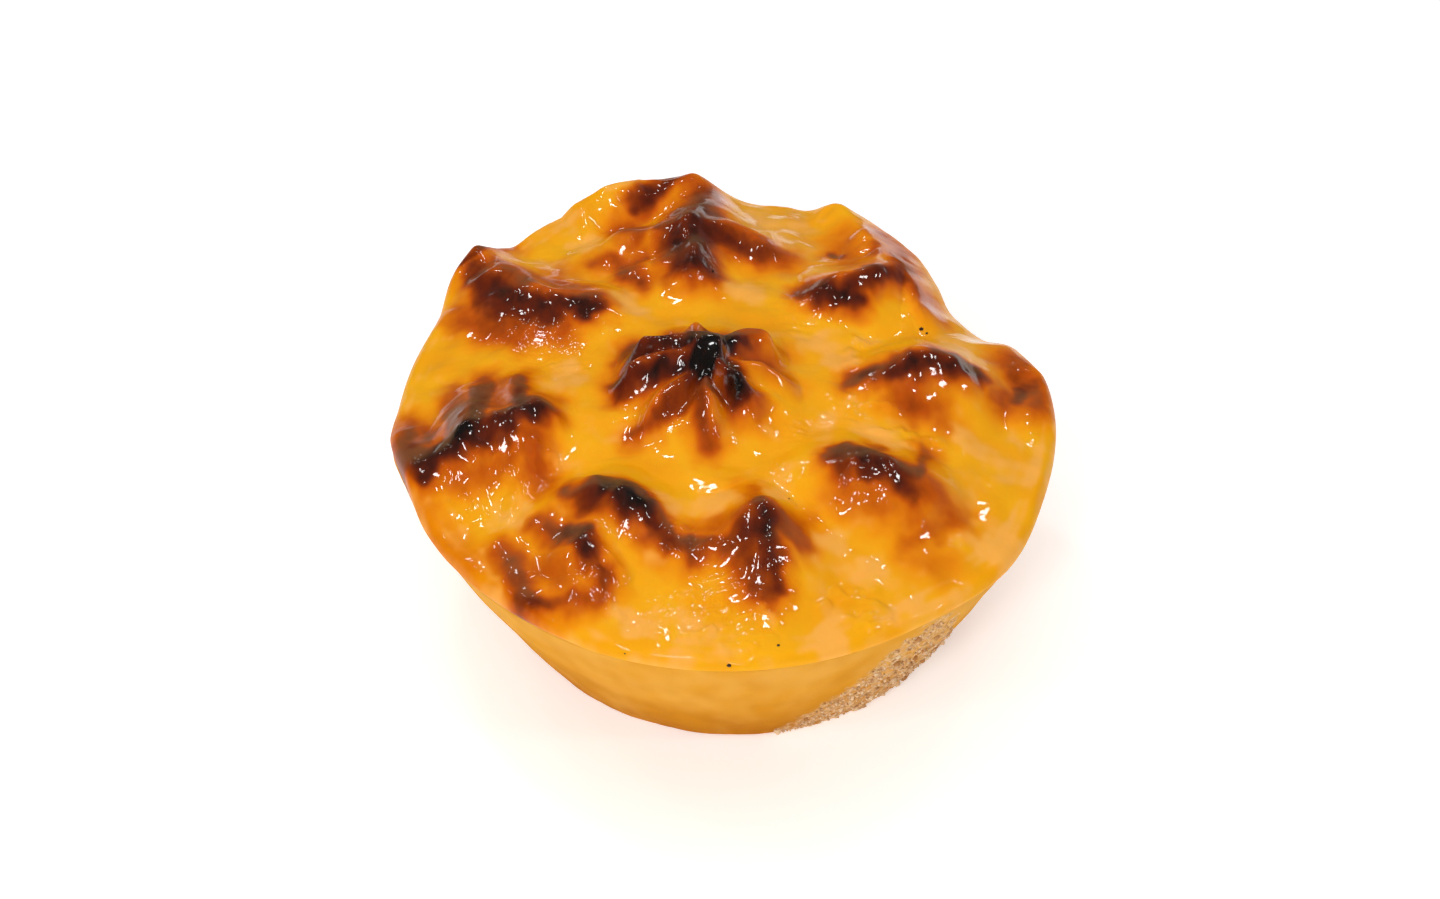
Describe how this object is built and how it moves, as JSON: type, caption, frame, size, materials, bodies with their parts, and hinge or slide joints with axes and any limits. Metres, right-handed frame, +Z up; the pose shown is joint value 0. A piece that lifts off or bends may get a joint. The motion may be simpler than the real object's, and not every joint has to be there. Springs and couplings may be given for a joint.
{
  "type": "coconut custard tart",
  "caption": "Round custard tart: a tapered crust cup with a glossy browned custard top, piped as a star inside a ring of shells.",
  "frame": {"origin": "centre of the bounding box, at its bottom: the middle of the tart where it stands", "axes": "+Z up through the custard star, -Y towards the viewer of the picture, +X to the viewer's right"},
  "size_m": [0.0798, 0.0788, 0.041],
  "materials": {
    "shortcrust": "pale baked shortcrust, dry and slightly floury",
    "coconut_custard": "glazed egg and coconut custard, browned on the crests"
  },
  "bodies": {
    "root": {"crust": "shortcrust", "custard": "coconut_custard"}
  },
  "joints": []
}
